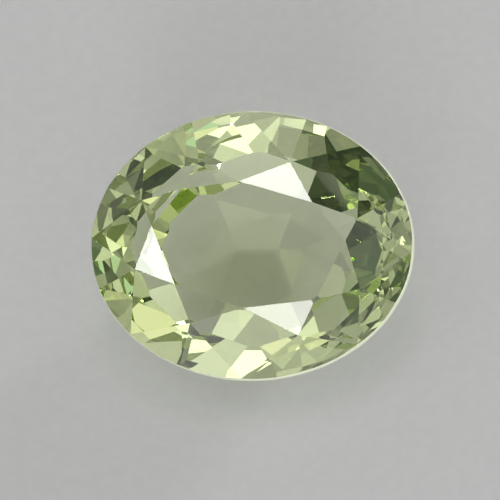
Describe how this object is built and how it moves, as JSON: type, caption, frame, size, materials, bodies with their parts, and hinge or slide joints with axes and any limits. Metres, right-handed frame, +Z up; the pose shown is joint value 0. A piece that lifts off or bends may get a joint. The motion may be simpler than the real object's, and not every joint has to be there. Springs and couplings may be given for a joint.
{
  "type": "oval cut sapphire",
  "caption": "Oval faceted green sapphire with a brilliant crown and a step-cut pavilion, lying on a pavilion facet.",
  "frame": {"origin": "centre of the bounding box's base, level with the pavilion facet that the stone rests on", "axes": "+Z up from the surface the stone rests on, X along the stone's length, and the table faces up and towards -Y"},
  "size_m": [0.007, 0.0056, 0.0035],
  "materials": {
    "sapphire": "polished"
  },
  "bodies": {
    "root": {"sapphire": "sapphire"}
  },
  "joints": []
}
